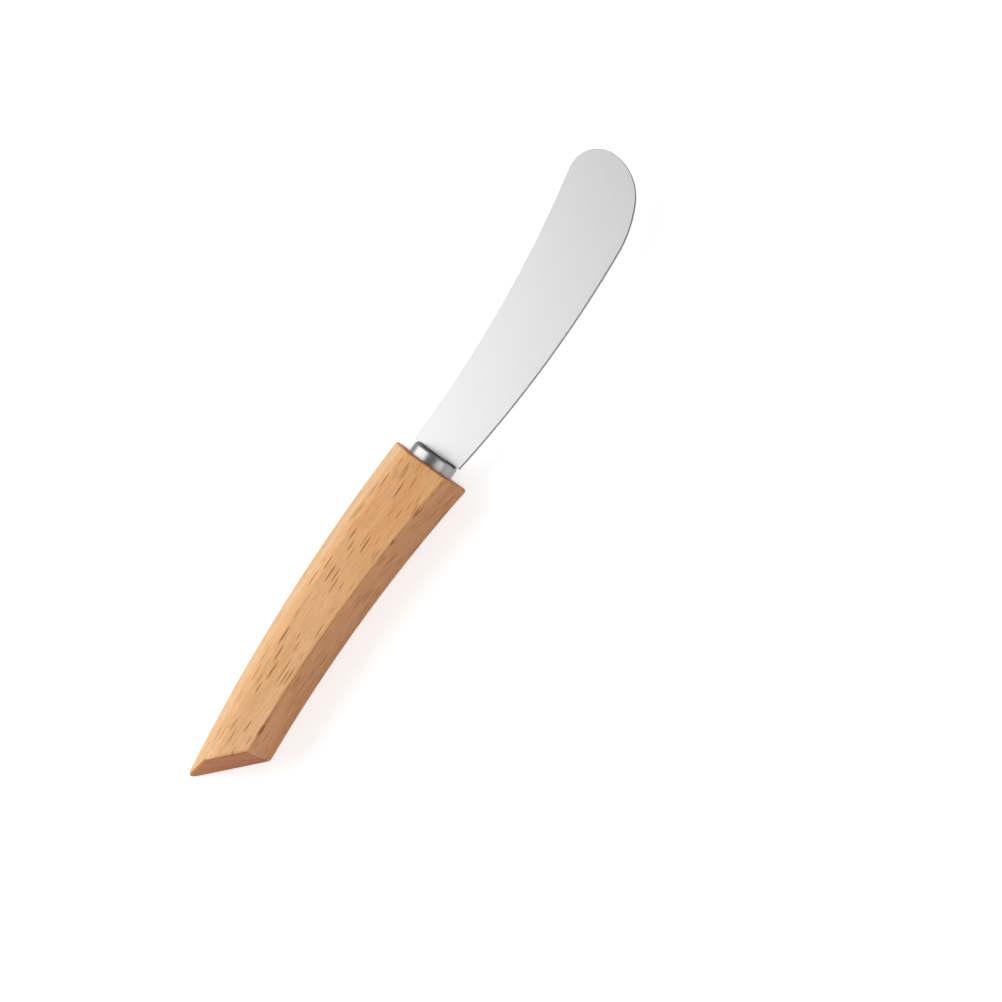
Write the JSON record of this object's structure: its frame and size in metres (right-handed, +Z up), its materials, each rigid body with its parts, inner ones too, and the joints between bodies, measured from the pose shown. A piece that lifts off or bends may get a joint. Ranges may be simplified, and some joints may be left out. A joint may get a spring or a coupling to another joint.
{
  "type": "butter knife",
  "caption": "Butter knife with a curved round-tipped steel blade, a short round ferrule and a curved wooden handle with a sloping spine and a slanted butt.",
  "frame": {"origin": "under the middle of the knife's bounding box, on the flat side of the handle that the knife lies on", "axes": "+X along the knife towards the blade's tip, +Y towards the spine (the blade's edge faces -Y), +Z up, square to the blade"},
  "size_m": [0.155, 0.0276, 0.0152],
  "materials": {
    "blade_steel": "satin",
    "ferrule_steel": "polished",
    "beech": "satin",
    "epoxy": "matte"
  },
  "bodies": {
    "root": {"blade": "blade_steel", "ferrule": "ferrule_steel", "handle": "beech", "adhesive": "epoxy"}
  },
  "joints": []
}
